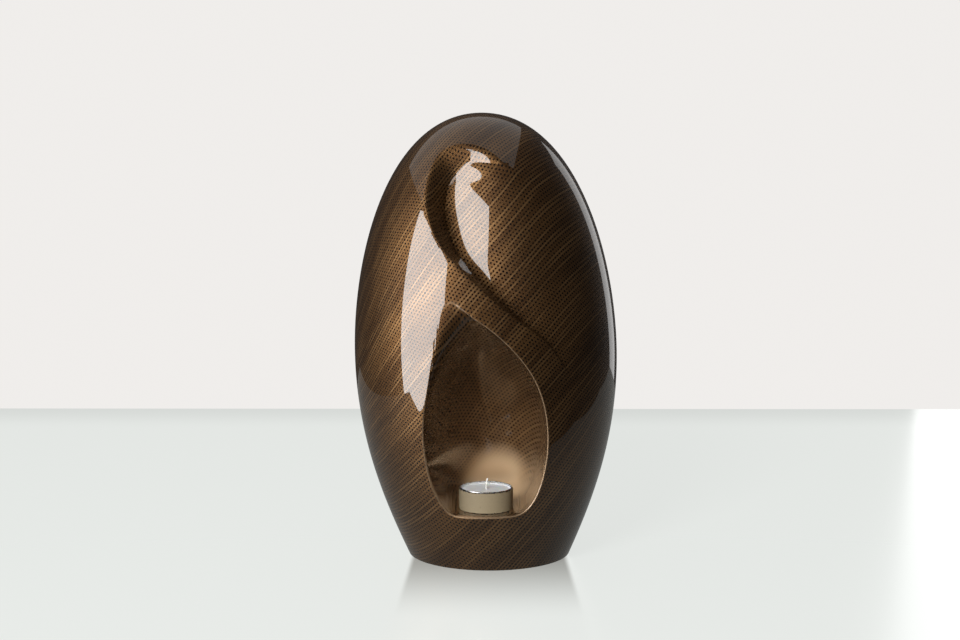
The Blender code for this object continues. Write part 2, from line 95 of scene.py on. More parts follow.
# Candle niche: its outline's x and z as shares, and the squareness of its hollow there
NICHE = [
    (-0.235, 0.617, 1.7),
    (-0.105, 0.588, 1.7),
    (0.037, 0.559, 1.7),
    (0.180, 0.521, 1.8),
    (0.308, 0.474, 2.0),
    (0.400, 0.419, 2.4),
    (0.449, 0.355, 2.8),
    (0.457, 0.295, 3.0),
    (0.425, 0.228, 3.4),
    (0.355, 0.170, 5.0),
    (0.270, 0.1405, 8.0),
    (0.140, 0.1300, 12.0),
    (-0.024, 0.1285, 12.0),
    (-0.200, 0.1290, 12.0),
    (-0.315, 0.1420, 8.0),
    (-0.391, 0.179, 5.0),
    (-0.446, 0.230, 3.4),
    (-0.473, 0.290, 2.8),
    (-0.474, 0.343, 2.5),
    (-0.448, 0.395, 2.2),
    (-0.410, 0.456, 2.0),
    (-0.372, 0.521, 1.8),
    (-0.337, 0.575, 1.7),
    (-0.296, 0.606, 1.7),
    (-0.235, 0.617, 1.7),
]
NICHE_CENTRE = (0.030, 0.270)
NICHE_BACK = 0.025
NICHE_LIP_RADIUS = 0.0015
SILL_RISE = 0.0008
SOFT_EDGE_START = 0.790
SOFT_EDGE_SLOPE = 3.5
SOFT_EDGE_ROLL = 0.003
SOFT_EDGE_FOOT = 0.433
SOFT_EDGE_GROWTH = 25.3
DEPTH_BLEND = 4.0

# Finish inside and around the niche
# The bare foot of the niche's back is painted pale, a painted glow of light, and left without dots.
BARE_X = 0.006
BARE_REACH = 0.031
BARE_RISE = 0.034
BARE_DEPTH = (0.004, 0.010)  # carved depth over which the bare foot of the back begins
BARE_FRONT = -0.03           # y where it begins, full at the urn's middle
# the lighter line along the lip is partly a worn gold edge and partly a painted highlight
LIP_HIGHLIGHT_LINE = 0.0011            # half the width of the lighter line along the lip
SOFT_EDGE_X = (-0.040, 0.010)
SOFT_EDGE_Z = (0.100, 0.150)
# over the same depth the niche is also painted lighter: painted light in the recess
DULL_AND_LIT_DEPTH = (0.002, 0.020)  # depth over which the niche turns duller

# Fineness of the body's skin
EGG_SPACING = 0.0026
SWIRL_STATIONS = 130
SWIRL_WALL_ROWS = 10
SWIRL_FLOOR_ROWS = 22
NICHE_STATIONS = 240
NICHE_LIP_ROWS = 5
NICHE_DEEP_ROWS = 40
BASE_SEGMENTS = 144
FRONT_CROWDING = 0.45
CAVITY_RINGS_BELOW = 4
CAVITY_RINGS_ABOVE = 40
CAVITY_CLEARANCE = 0.006
OUTLINE_SAMPLES = 600
EDGE_CLEARANCE = 0.6
SHARP_ANGLE = math.radians(40)

# Printed pattern, in millimetres: two families of rows whose crossings are the dots
ROW_RISE = 0.262
ROW_RUN = 0.288
ROW_TURN = 0.0008
ROW_FADE = 5.0e-6
CROSS_RISE = 0.137
CROSS_RUN = 0.437
PRINT_DEPTH_RUN = 0.25       # rows for each millimetre into a carved wall
PRINT_DEPTH_END = 6.0        # where that levels off
SIDE_STRETCH = 0.571         # how much longer the skin is than its front view, at the sides
CROWN_STRETCH = 0.22         # and at the crown

# Small turned pieces
TURNED_SEGMENTS = 192
CUP_WALL = 0.0002
CUP_RIM = 0.0004             # radius of the rolled rim's edge
CUP_SET_IN = 0.0002          # of the cup's wall below its rim
CUP_FOOT = 0.0016            # rounding at the cup's foot
CUP_FLOOR = (0.004, 0.010, 0.014)    # radii of the rings in the cup's floor
CUP_FLUTES = 64
FLUTE_DEPTH = 0.00010
SLEEVE_WALL = 0.00045
SLEEVE_STEP = 0.00012        # where the sleeve's end overlaps its start
SLEEVE_SEAM = 60             # the turn of that end in degrees, at the back right
WAX_GAP = 0.0003             # around the wick in its socket
WAX_FOOT = 0.0015            # rounding at the wax's foot
WAX_CLIMB = 0.0007           # how high the wax climbs the cup and the wick
WAX_REACH = 0.0016           # and how far out from them
WICK_RADIUS = 0.0007
WICK_SEGMENTS = 36
WICK_STEPS = 90
WICK_SOCKET = 0.004
WICK_BEND = 0.0012
WICK_STRANDS = 3
WICK_TURNS = 5.0
BUNG_ROUND = 0.0006
BUNG_RIDGE = 0.0004
BUNG_RIDGES = 3
BUNG_GROOVE = 0.0010
BUNG_DIMPLE = 0.0008
BUNG_SEAT_GAP = 0.0003       # between its flange and the recess
PLUG_CLEARANCE = 0.0005      # around the plug in the fill hole
PLUG_TAPER = 0.0008

# Camera
CAMERA_PLACE = (0.00264, -1.67853, 0.43332)
CAMERA_AIM = (-0.0043, 0.0, 0.1749)
LENS = 86.02
SENSOR = 36.0


def bezier(p0, p1, p2, p3):
    """Points along a cubic curve, with its four handles given as (radius, height)."""
    t = np.linspace(0.0, 1.0, OUTLINE_SAMPLES)[:, None]
    p0, p1, p2, p3 = (np.array(p) for p in (p0, p1, p2, p3))
    return (1 - t) ** 3 * p0 + 3 * (1 - t) ** 2 * t * p1 + 3 * (1 - t) * t ** 2 * p2 + t ** 3 * p3


def egg_outline():
    """The vessel's outline from its foot to its crown, as (radius, height)."""
    foot_reach = FOOT_FULLNESS * BELLY_HEIGHT
    upper = HEIGHT - BELLY_HEIGHT
    below = bezier(
        (FOOT_RADIUS, 0.0),
        (FOOT_RADIUS + foot_reach * math.tan(FOOT_FLARE), foot_reach),
        (BELLY_RADIUS, BELLY_HEIGHT * (1 - LOWER_BELLY_FULLNESS)),
        (BELLY_RADIUS, BELLY_HEIGHT),
    )
    above = bezier(
        (BELLY_RADIUS, BELLY_HEIGHT),
        (BELLY_RADIUS, BELLY_HEIGHT + upper * UPPER_BELLY_FULLNESS),
        (BELLY_RADIUS * CROWN_FULLNESS, HEIGHT),
        (0.0, HEIGHT),
    )
    return np.vstack([below, above[1:]])


def spline_through(rows, count):
    """Evenly spaced rows on a natural cubic spline through the given ones. The first two columns are
    the plane position that spaces them."""
    rows = np.array(rows, dtype=float)
    knots = np.concatenate([[0.0], np.cumsum(np.hypot(*np.diff(rows[:, :2], axis=0).T))])
    step = np.diff(knots)
    slope = np.diff(rows, axis=0) / step[:, None]
    system = np.eye(len(rows))
    right = np.zeros_like(rows)
    for i in range(1, len(rows) - 1):
        system[i, i - 1:i + 2] = step[i - 1], 2 * (step[i - 1] + step[i]), step[i]
        right[i] = 6 * (slope[i] - slope[i - 1])
    bend = np.linalg.solve(system, right)
    places = np.linspace(0.0, knots[-1], count)
    span = np.clip(np.searchsorted(knots, places, side="right") - 1, 0, len(step) - 1)
    a = (places - knots[span])[:, None]
    b = (knots[span + 1] - places)[:, None]
    h = step[span][:, None]
    return (
        (bend[span] * b ** 3 + bend[span + 1] * a ** 3) / (6 * h)
        + (rows[span] / h - bend[span] * h / 6) * b
        + (rows[span + 1] / h - bend[span + 1] * h / 6) * a
    )


class Egg:
    """The plain egg before carving, upright, and its flat conformal map."""

    def __init__(self):
        self.outline = egg_outline()
        steps = np.hypot(*np.diff(self.outline, axis=0).T)
        self.arc = np.concatenate([[0.0], np.cumsum(steps)])
        middle = (self.outline[1:, 0] + self.outline[:-1, 0]) / 2
        self.map_log = -np.concatenate([[0.0], np.cumsum(steps / middle)])
        along = np.gradient(self.outline, axis=0)
        self.tilt = np.arctan2(-along[:, 0], along[:, 1])

    def radius(self, z):
        return np.interp(z, self.outline[:, 1], self.outline[:, 0])

    def front(self, x, z):
        """y of the egg's front surface."""
        return -np.sqrt(np.maximum(self.radius(z) ** 2 - x ** 2, 0.0))

    def flat(self, x, y, z):
        """Place of a surface point on the conformal map, with the crown at its middle."""
        reach = np.exp(np.interp(z, self.outline[:, 1], self.map_log))
        angle = np.arctan2(y, x)
        return np.stack([reach * np.cos(angle), reach * np.sin(angle)], axis=-1)

    def points(self, spacing):
        """Staggered rings of points over the egg, with one ring on the belly and the last on the foot."""
        belly = np.interp(BELLY_HEIGHT, self.outline[:, 1], self.arc)
        pitch = spacing * math.sqrt(3) / 2
        above = int((self.arc[-1] - belly) / pitch)
        below = int(belly / pitch)
        places = [belly + (self.arc[-1] - belly) * k / above for k in range(above)]
        places += [belly * k / below for k in range(1, below)]
        rings = []
        for number, place in enumerate(places):
            r = np.interp(place, self.arc, self.outline[:, 0])
            z = np.interp(place, self.arc, self.outline[:, 1])
            count = 4 * max(2, round(2 * math.pi * r / spacing / 4))
            turn = (np.arange(count) + 0.5 * (number % 2)) * 2 * math.pi / count
            rings.append(np.stack([r * np.cos(turn), r * np.sin(turn), np.full(count, z)], axis=1))
        turn = base_turns()
        foot = np.stack([FOOT_RADIUS * np.cos(turn), FOOT_RADIUS * np.sin(turn), 0.0 * turn], axis=1)
        return np.vstack(rings + [[[0.0, 0.0, HEIGHT]]]), foot


def inside(points, loop):
    """Which plane points lie within a closed loop."""
    result = np.zeros(len(points), dtype=bool)
    low, high = loop.min(axis=0), loop.max(axis=0)
    near = np.flatnonzero(((points > low) & (points < high)).all(axis=1))
    ax, ay = loop.T
    bx, by = np.roll(loop, -1, axis=0).T
    rise = np.where(by == ay, 1.0, by - ay)
    for part in np.array_split(near, 1 + len(near) // 2000):
        x, y = points[part, :1], points[part, 1:]
        straddles = (ay > y) != (by > y)
        crossing = (bx - ax) * (y - ay) / rise + ax
        result[part] = (straddles & (x < crossing)).sum(axis=1) % 2 == 1
    return result


def swirl_surface(egg, stations, wall_rows, floor_rows):
    """Grid of the scoop, station by station, each from the lip over the valley to the far edge."""
    rows = spline_through(SWIRL, stations)
    lip, valley, far = (rows[:, k:k + 2] * (BELLY_RADIUS, HEIGHT) for k in (0, 2, 4))
    depth = np.maximum(rows[:, 6] * BELLY_RADIUS, 0.0)
    width = np.maximum(np.hypot(*(valley - lip).T), 1e-6)
    roll = np.clip(SWIRL_LIP_RADIUS / width, 0.0, 1.5)
    grid = []
    for t in np.linspace(0.0, 1.0, wall_rows + 1)[:-1]:
        share = t ** SWIRL_LIP_CROWDING
        drop = (np.hypot(share, roll) - roll) / (np.hypot(1.0, roll) - roll)
        grid.append(np.column_stack([lip + (valley - lip) * share, depth * drop]))
    for t in np.linspace(0.0, 1.0, floor_rows + 1):
        drop = (1 - t) ** 2 * (1 + SWIRL_FLOOR_LIFT * t)
        grid.append(np.column_stack([valley + (far - valley) * t, depth * drop]))
    grid = np.array(grid).transpose(1, 0, 2)
    x, z, sunk = grid[..., 0], grid[..., 1], grid[..., 2]
    return np.stack([x, egg.front(x, z) + sunk, z], axis=-1)


def niche_floor():
    """Height of the niche's flat floor."""
    sill = min(z for _, z, _ in NICHE) * HEIGHT
    return sill + NICHE_LIP_RADIUS + SILL_RISE


def soft_edge_depth(x, z, edge):
    """Depth that the soft left edge allows, from how far a point lies inside it."""
    reach = np.full(x.shape, np.inf)
    for ex, ez in edge:
        reach = np.minimum(reach, np.hypot(x - ex, z - ez))
    roll = SOFT_EDGE_ROLL * np.exp(SOFT_EDGE_GROWTH * (z / HEIGHT - SOFT_EDGE_FOOT))
    return SOFT_EDGE_SLOPE * (np.hypot(reach, roll) - roll)


def softer_minimum(a, b):
    """The smaller of two depths, rounded where they are alike, and zero where either is."""
    least = np.minimum(a, b)
    ratio = least / np.maximum(np.maximum(a, b), 1e-9)
    return least * (1 + ratio ** DEPTH_BLEND) ** (-1 / DEPTH_BLEND)


def niche_surface(egg, around, lip_rows, deep_rows):
    """Grid of the niche, from its outline inwards, and the deepest point in its middle."""
    rows = spline_through(NICHE, around + 1)[:-1]
    edge = spline_through(NICHE, OUTLINE_SAMPLES)[int(SOFT_EDGE_START * OUTLINE_SAMPLES)::3, :2]
    edge = edge * (BELLY_RADIUS, HEIGHT)
    outline = rows[:, :2] * (BELLY_RADIUS, HEIGHT)
    squareness = rows[:, 2]
    centre = np.array(NICHE_CENTRE) * (BELLY_RADIUS, HEIGHT)
    reach = np.hypot(*(outline - centre).T)
    rings = []
    for t in np.linspace(0.0, 1.0, lip_rows + 1):
        turn = t * math.pi / 2
        share = 1 - NICHE_LIP_RADIUS * math.sin(turn) / reach
        place = centre + (outline - centre) * share[:, None]
        rings.append(np.column_stack([place, np.full(around, NICHE_LIP_RADIUS * (1 - math.cos(turn)))]))
    for turn in np.linspace(0.0, math.pi / 2, deep_rows + 1)[1:-1]:
        c, s = math.cos(turn), math.sin(turn)
        bulge = (c ** squareness + s ** squareness) ** (-1 / squareness)
        share = (1 - NICHE_LIP_RADIUS / reach) * c * bulge
        place = centre + (outline - centre) * share[:, None]
        full = NICHE_BACK - egg.front(place[:, 0], place[:, 1])
        sunk = NICHE_LIP_RADIUS + (full - NICHE_LIP_RADIUS) * s * bulge
        rings.append(np.column_stack([place, sunk]))
    rings.append(np.tile([*centre, NICHE_BACK - egg.front(*centre)], (around, 1)))
    grid = np.array(rings)
    x, z, sunk = grid[..., 0], grid[..., 1], grid[..., 2]
    y = egg.front(x, z) + softer_minimum(sunk, soft_edge_depth(x, z, edge))
    z = np.where(np.arange(len(grid))[:, None] >= lip_rows, np.maximum(z, niche_floor()), z)
    surface = np.stack([x, y, z], axis=-1)
    return surface[:-1], surface[-1, 0]


def base_turns():
    """Angles of the points in each ring of the underside and the hollow, closer together in front."""
    share = np.arange(BASE_SEGMENTS) * 2 * math.pi / BASE_SEGMENTS
    return share - FRONT_CROWDING * np.sin(share) - math.pi / 2


def axis_x(z):
    """x of the leaning axis at a height."""
    return LEAN * (z - BELLY_HEIGHT)


def cavity_rings(egg, carved):
    """Rings of the hollow's wall, a wall's thickness inside the egg and behind everything carved."""
    normal = np.gradient(egg.outline, axis=0)
    normal = np.stack([normal[:, 1], -normal[:, 0]], axis=1)
    normal /= np.hypot(*normal.T)[:, None]
    inner = egg.outline - WALL * normal
    floor = RECESS_DEPTH + BASE_THICKNESS
    shelf = niche_floor() - WALL
    arc = np.concatenate([[0.0], np.cumsum(np.hypot(*np.diff(inner, axis=0).T))])
    shelf_arc = np.interp(shelf, inner[:, 1], arc)
    low = np.interp(floor, inner[:, 1], arc)
    places = list(np.linspace(low, shelf_arc, CAVITY_RINGS_BELOW))
    places += list(np.linspace(shelf_arc + WALL / 10, arc[-1], CAVITY_RINGS_ABOVE + 1)[:-1])
    turn = base_turns()
    rings = []
    for number, place in enumerate(places):
        r = np.interp(place, arc, inner[:, 0])
        z = np.interp(place, arc, inner[:, 1])
        ring = np.stack([r * np.cos(turn), r * np.sin(turn), np.full(BASE_SEGMENTS, z)], axis=1)
        if number >= CAVITY_RINGS_BELOW:
            ring[:, 1] = np.maximum(ring[:, 1], behind(ring, carved))
        rings.append(ring)
    return rings, np.array([0.0, 0.0, HEIGHT - WALL])


def behind(points, carved):
    """y a wall's thickness behind the carved surface, at and beside each point's x and z."""
    result = np.full(len(points), -np.inf)
    reach = WALL + CAVITY_CLEARANCE
    for number, (x, _, z) in enumerate(points):
        near = carved[(np.abs(carved[:, 0] - x) < reach) & (np.abs(carved[:, 2] - z) < reach)]
        aside = np.maximum(np.hypot(near[:, 0] - x, near[:, 2] - z) - CAVITY_CLEARANCE, 0.0)
        hit = aside < WALL
        if hit.any():
            result[number] = np.max(near[hit, 1] + np.sqrt(WALL ** 2 - aside[hit] ** 2))
    return result


class Skin:
    """Points and faces of a mesh in the making, with a finish for each face and a depth of carving
    for each point."""

    def __init__(self):
        self.points = []
        self.depths = []
        self.faces = []
        self.finishes = []
        self.finish = 0

    def add(self, points, depths=0.0):
        start = len(self.points)
        self.points += np.asarray(points).tolist()
        self.depths += np.broadcast_to(depths, len(points)).tolist()
        return list(range(start, len(self.points)))

    def face(self, corners):
        self.faces.append(tuple(corners))
        self.finishes.append(self.finish)

    def strip(self, first, second, closed):
        """Faces between two rows of points. Points that the rows share give triangles."""
        count = len(first)
        for i in range(count if closed else count - 1):
            j = (i + 1) % count
            corners = list(dict.fromkeys((first[i], first[j], second[j], second[i])))
            if len(corners) > 2:
                self.face(corners)

    def fan(self, ring, point):
        for i, corner in enumerate(ring):
            self.face((corner, ring[(i + 1) % len(ring)], point))

    def mesh(self, name):
        mesh = bpy.data.meshes.new(name)
        mesh.from_pydata(self.points, [], self.faces)
        mesh.polygons.foreach_set("material_index", self.finishes)
        bm = bmesh.new()
        bm.from_mesh(mesh)
        bmesh.ops.recalc_face_normals(bm, faces=bm.faces)
        bm.to_mesh(mesh)
        bm.free()
        mesh.shade_smooth()
        mesh.set_sharp_from_angle(angle=SHARP_ANGLE)
        return mesh


def add_egg(skin, egg, outlines):
    """The plain skin of the egg around the carved outlines. Gives the points of each outline and of
    the foot."""
    rings, foot = egg.points(EGG_SPACING)
    loops = [egg.flat(*outline.T) for outline in outlines]
    flat_rings = egg.flat(*rings.T)
    flat_rings[-1] = 0.0
    tree = kdtree.KDTree(sum(len(outline) for outline in outlines))
    for number, point in enumerate(np.vstack(outlines)):
        tree.insert(point, number)
    tree.balance()
    clear = EDGE_CLEARANCE * EGG_SPACING
    keep = np.array([tree.find(point)[2] > clear for point in rings])
    for loop in loops:
        keep &= ~inside(flat_rings, loop)
    flat = np.vstack(loops + [flat_rings[keep], egg.flat(*foot.T)])
    points = skin.add(np.vstack(outlines + [rings[keep], foot]))
    edges = []
    found = []
    start = 0
    for loop in loops:
        edges += [(start + i, start + (i + 1) % len(loop)) for i in range(len(loop))]
        found.append(points[start:start + len(loop)])
        start += len(loop)
    _, _, faces, origins, _, _ = delaunay_2d_cdt([Vector(p) for p in flat], edges, [], 0, 1e-9)
    corners = np.array([[origins[v][0] for v in face] for face in faces])
    middles = flat[corners].mean(axis=1)
    carved = inside(middles, loops[0]) | inside(middles, loops[1])
    for face in corners[~carved].tolist():
        skin.face([points[v] for v in face])
    return found, points[-len(foot):]


def add_swirl(skin, egg, surface, edge):
    """The scoop's skin, which shares its two ends and both its long edges with the egg."""
    stations, across = surface.shape[:2]
    first, last = edge[0], edge[stations - 1]
    rows = [edge[:stations]]
    for k in range(1, across - 1):
        row = surface[1:-1, k]
        rows.append([first] + skin.add(row, row[:, 1] - egg.front(row[:, 0], row[:, 2])) + [last])
    rows.append([first] + edge[:stations - 1:-1] + [last])
    for one, other in zip(rows, rows[1:]):
        skin.strip(one, other, False)


def add_niche(skin, egg, surface, deepest, edge):
    """The niche's skin, from its outline on the egg to its deepest point."""
    rows = [edge]
    for ring in surface[1:]:
        rows.append(skin.add(ring, ring[:, 1] - egg.front(ring[:, 0], ring[:, 2])))
    for one, other in zip(rows, rows[1:]):
        skin.strip(one, other, True)
    middle = skin.add([deepest], deepest[1] - egg.front(deepest[0], deepest[2]))
    skin.fan(rows[-1], middle[0])


def add_inside(skin, carved, egg, foot):
    """The foot ring, the recess, the fill hole and the hollow's wall, from the foot inwards."""
    skin.finish = 1
    cavity, top = cavity_rings(egg, carved)
    turn = base_turns()
    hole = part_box("base_stopper")
    hole_y = (hole[0].y + hole[1].y) / 2
    recess = FOOT_RADIUS - FOOT_RING_WIDTH
    steps = [
        (recess + FOOT_EDGE, 0.0, 0.0),
        (recess, 0.0, FOOT_EDGE),
        (recess, 0.0, RECESS_DEPTH - FOOT_EDGE),
        (recess - FOOT_EDGE, 0.0, RECESS_DEPTH),
        (FILL_HOLE_RADIUS, hole_y, RECESS_DEPTH),
        (FILL_HOLE_RADIUS, hole_y, RECESS_DEPTH + BASE_THICKNESS),
    ]
    rows = [foot]
    for r, y, z in steps:
        rows.append(skin.add(np.stack([r * np.cos(turn), y + r * np.sin(turn), np.full(BASE_SEGMENTS, z)],
                                      axis=1)))
    rows += [skin.add(ring) for ring in cavity]
    for one, other in zip(rows, rows[1:]):
        skin.strip(one, other, True)
    skin.fan(rows[-1], skin.add([top])[0])


def print_rows(egg, points, depths):
    """The two row counts of the printed pattern at each point of the upright vessel. The film wraps
    it from the front, and its back half mirrors the front."""
    x, z = points[:, 0], points[:, 2]
    side = np.clip(np.abs(x) / np.maximum(egg.radius(z), 1e-6), 0.0, 1.0)
    tilt = np.interp(z, egg.outline[:, 1], egg.tilt)
    turn = np.arccos(np.sqrt(1 - side ** 2) * np.cos(tilt)) / (math.pi / 2)
    up = z - BELLY_HEIGHT
    reach = np.maximum(np.hypot(x, up), 1e-9)
    stretch = 1 + turn ** 2 * (SIDE_STRETCH * (x / reach) ** 2 + CROWN_STRETCH * (up / reach) ** 2)
    across = 1000 * x * stretch
    rise = 1000 * up * stretch
    sunk = PRINT_DEPTH_END * np.tanh(1000 * depths / PRINT_DEPTH_END) * PRINT_DEPTH_RUN
    run = ROW_RUN * across - ROW_TURN * across ** 2 / 2 - ROW_FADE * across ** 3 / 3
    return ROW_RISE * rise - run + sunk, CROSS_RUN * across + CROSS_RISE * rise + sunk


def share(values, low, high):
    """Smooth step from 0 at low to 1 at high."""
    t = np.clip((values - low) / (high - low), 0.0, 1.0)
    return t * t * (3 - 2 * t)


def unprinted_glow_share(points, depths):
    """Where the foot of the niche's back is left without print and painted pale, a painted glow of light: 1
    is bare.
    """
    x, y, z = points.T
    dome = np.hypot((x - BARE_X) / BARE_REACH, (z - niche_floor()) / BARE_RISE)
    return share(depths, *BARE_DEPTH) * (1 - share(dome, 0.45, 1.10)) * share(y, BARE_FRONT, 0.0)


def lip_highlight_share(points, outline):
    """How near a point lies to the niche's rounded lip, whose lighter line is partly a worn gold edge and
    partly a painted highlight: 1 on it. Its soft upper left edge has none.
    """
    tree = kdtree.KDTree(len(outline))
    for number, point in enumerate(outline):
        tree.insert(point, number)
    tree.balance()
    away = np.array([tree.find(point)[2] for point in points])
    soft = (1 - share(points[:, 0], *SOFT_EDGE_X)) * share(points[:, 2], *SOFT_EDGE_Z)
    return (1 - share(away, 0.3 * LIP_HIGHLIGHT_LINE, LIP_HIGHLIGHT_LINE)) * (1 - soft)


def niche_dull_and_lit_share(depths, start, end):
    """Where the finish is duller and painted lighter, which is painted light in the recess; this is only in
    the niche, whose points run from start to end: 1 is dullest and lightest."""
    result = np.zeros(len(depths))
    result[start:end] = share(depths[start:end], *DULL_AND_LIT_DEPTH)
    return result


def build_body():
    """The whole vessel as one closed skin, with its printed pattern's place on every point."""
    egg = Egg()
    swirl = swirl_surface(egg, SWIRL_STATIONS, SWIRL_WALL_ROWS, SWIRL_FLOOR_ROWS)
    niche, deepest = niche_surface(egg, NICHE_STATIONS, NICHE_LIP_ROWS, NICHE_DEEP_ROWS)
    swirl_outline = np.vstack([swirl[:, 0], swirl[-2:0:-1, -1]])
    skin = Skin()
    (swirl_edge, niche_edge), foot = add_egg(skin, egg, [swirl_outline, niche[0]])
    add_swirl(skin, egg, swirl, swirl_edge)
    start = len(skin.points)
    add_niche(skin, egg, niche, deepest, niche_edge)
    end = len(skin.points)
    carved = np.vstack([swirl.reshape(-1, 3), niche.reshape(-1, 3)])
    add_inside(skin, carved, egg, foot)
    points = np.array(skin.points)
    depths = np.array(skin.depths)
    rows, crosses = print_rows(egg, points, depths)
    lip = niche[NICHE_LIP_ROWS - 2]
    # painted light on the print: a pale painted glow at the niche's back, a painted highlight along its lip
    # and a niche painted lighter
    finish = (unprinted_glow_share(points, depths), lip_highlight_share(points, lip), niche_dull_and_lit_share(depths, start, end))
    points[:, 0] += axis_x(points[:, 2])
    skin.points = points.tolist()
    mesh = skin.mesh("urn_body_glazed")
    for name, values in (("print", (rows, crosses, 0 * rows)), ("finish", finish)):
        attribute = mesh.attributes.new(name, "FLOAT_VECTOR", "POINT")
        attribute.data.foreach_set("vector", np.stack(values, axis=1).astype(np.float32).ravel())
    return mesh


def turned(name, outline, place, closed=False, wave=None):
    """A turned skin from its outline, given as (radius, height). An outline that isn't closed starts
    and ends on the axis. The wave gives an added radius from a turn and a height."""
    turn = np.arange(TURNED_SEGMENTS) * 2 * math.pi / TURNED_SEGMENTS
    skin = Skin()
    rings = []
    for radius, height in outline if closed else outline[1:-1]:
        reach = radius + (wave(turn, radius, height) if wave else 0.0 * turn)
        ring = np.stack([reach * np.cos(turn), reach * np.sin(turn), np.full(len(turn), height)], axis=1)
        rings.append(skin.add(ring + place))
    for one, other in zip(rings, rings[1:]):
        skin.strip(one, other, True)
    if closed:
        skin.strip(rings[-1], rings[0], True)
    else:
        for (_, height), ring in ((outline[0], rings[0]), (outline[-1], rings[-1])):
            skin.fan(ring, skin.add([(place[0], place[1], place[2] + height)])[0])
    return skin.mesh(name)


def arc(centre, radius, start, end, steps):
    """Outline points around a centre, from one angle to another in degrees."""
    turns = np.radians(np.linspace(start, end, steps + 1))
    return [(centre[0] + radius * math.cos(turn), centre[1] + radius * math.sin(turn)) for turn in turns]


def seat(node):
    """Radius, height and foot of a turned node."""
    low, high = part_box(node)
    place = np.array([(low.x + high.x) / 2, (low.y + high.y) / 2, low.z])
    return (high.x - low.x) / 2, high.z - low.z, place


def build_cup():
    """Drawn foil cup with a rolled rim, a rounded foot and pressed flutes."""
    radius, height, place = seat("tealight_cup")
    wall = radius - CUP_SET_IN
    inner = wall - CUP_WALL
    outline = [(reach, 0.0) for reach in (0.0, *CUP_FLOOR)]
    outline += arc((wall - CUP_FOOT, CUP_FOOT), CUP_FOOT, -90, 0, 6)
    outline += [(wall, height * k / 8) for k in range(2, 7)]
    outline += arc((radius - CUP_RIM, height - CUP_RIM), CUP_RIM, -50, 150, 10)
    outline += [(inner, height - 3 * CUP_RIM)]
    outline += [(inner, height * k / 8) for k in range(6, 1, -1)]
    outline += arc((wall - CUP_FOOT, CUP_FOOT), CUP_FOOT - CUP_WALL, 0, -90, 6)
    outline += [(reach, CUP_WALL) for reach in (*reversed(CUP_FLOOR), 0.0)]

    def flutes(turn, reach, level):
        amount = float(share(np.array(level), CUP_FOOT, 2 * CUP_FOOT))
        amount *= 1 - float(share(np.array(level), height - 4 * CUP_RIM, height - 2 * CUP_RIM))
        return -FLUTE_DEPTH * amount * (1 - np.cos(CUP_FLUTES * turn)) / 2

    return turned("tealight_cup_foil", outline, place, wave=flutes)


def build_sleeve():
    """Card sleeve wound once around the cup, with soft cut edges and an overlapping end behind."""
    radius, height, place = seat("tealight_sleeve")
    inner = radius - SLEEVE_WALL
    outer = radius - SLEEVE_STEP
    edge = 0.3 * SLEEVE_WALL
    outline = [(inner, edge), (inner + edge, 0.0), (outer - edge, 0.0), (outer, edge)]
    outline += [(outer, height * k / 6) for k in range(1, 6)]
    outline += [(outer, height - edge), (outer - edge, height)]
    outline += [(inner + edge, height), (inner, height - edge)]

    def overlap(turn, reach, level):
        if reach < (inner + outer) / 2:
            return 0.0 * turn
        past_seam = np.degrees(turn) - SLEEVE_SEAM
        return SLEEVE_STEP * share(past_seam, 0.0, 1.5) * (1 - share(past_seam, 12.0, 30.0))

    return turned("tealight_sleeve_card", outline, place, closed=True, wave=overlap)


def build_wax():
    """Poured wax that climbs a little up the cup and the wick, around the wick's socket."""
    radius, height, place = seat("tealight_wax")
    level = height - WAX_CLIMB
    socket = WICK_RADIUS + WAX_GAP
    outline = [(0.0, 0.0), (0.6 * radius, 0.0)]
    outline += arc((radius - WAX_FOOT, WAX_FOOT), WAX_FOOT, -90, 0, 5)
    for k in range(9):
        away = WAX_REACH * (k / 8) ** 2
        outline.append((radius - away, level + WAX_CLIMB * (1 - k / 8) ** 2))
    outline += [(radius * k, level) for k in (0.75, 0.55, 0.35)]
    for k in range(8, -1, -1):
        away = WAX_REACH * (k / 8) ** 2
        outline.append((socket + away, level + 0.6 * WAX_CLIMB * (1 - k / 8) ** 2))
    outline += [(socket, height - WICK_SOCKET), (0.0, height - WICK_SOCKET)]
    return turned("tealight_wax_poured", outline, place)


def build_wick():
    """Twisted cotton wick, leaning as its solid does, with a trimmed and slightly spread tip."""
    low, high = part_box("tealight_wick")
    place = np.array([low.x + WICK_RADIUS, (low.y + high.y) / 2, low.z])
    length = high.z - low.z
    stand = length - WICK_SOCKET
    turn = np.arange(WICK_SEGMENTS) * 2 * math.pi / WICK_SEGMENTS
    skin = Skin()
    rings = []
    for step in np.linspace(0.0, 1.0, WICK_STEPS):
        height = step * length
        twist = WICK_TURNS * 2 * math.pi * step
        reach = WICK_RADIUS * (0.86 + 0.14 * np.cos(WICK_STRANDS * (turn - twist)))
        reach = reach * (1 - 0.5 * share(np.array(height), 0.97 * length, length))
        lean = WICK_BEND * max(height - WICK_SOCKET, 0.0) ** 2 / stand ** 2
        level = np.full(WICK_SEGMENTS, height)
        ring = np.stack([reach * np.cos(turn) + lean, reach * np.sin(turn), level], axis=1)
        rings.append(skin.add(ring + place))
    for one, other in zip(rings, rings[1:]):
        skin.strip(one, other, True)
    skin.fan(rings[0], skin.add([place])[0])
    skin.fan(rings[-1], skin.add([place + (WICK_BEND, 0.0, length)])[0])
    return skin.mesh("tealight_wick_twisted")


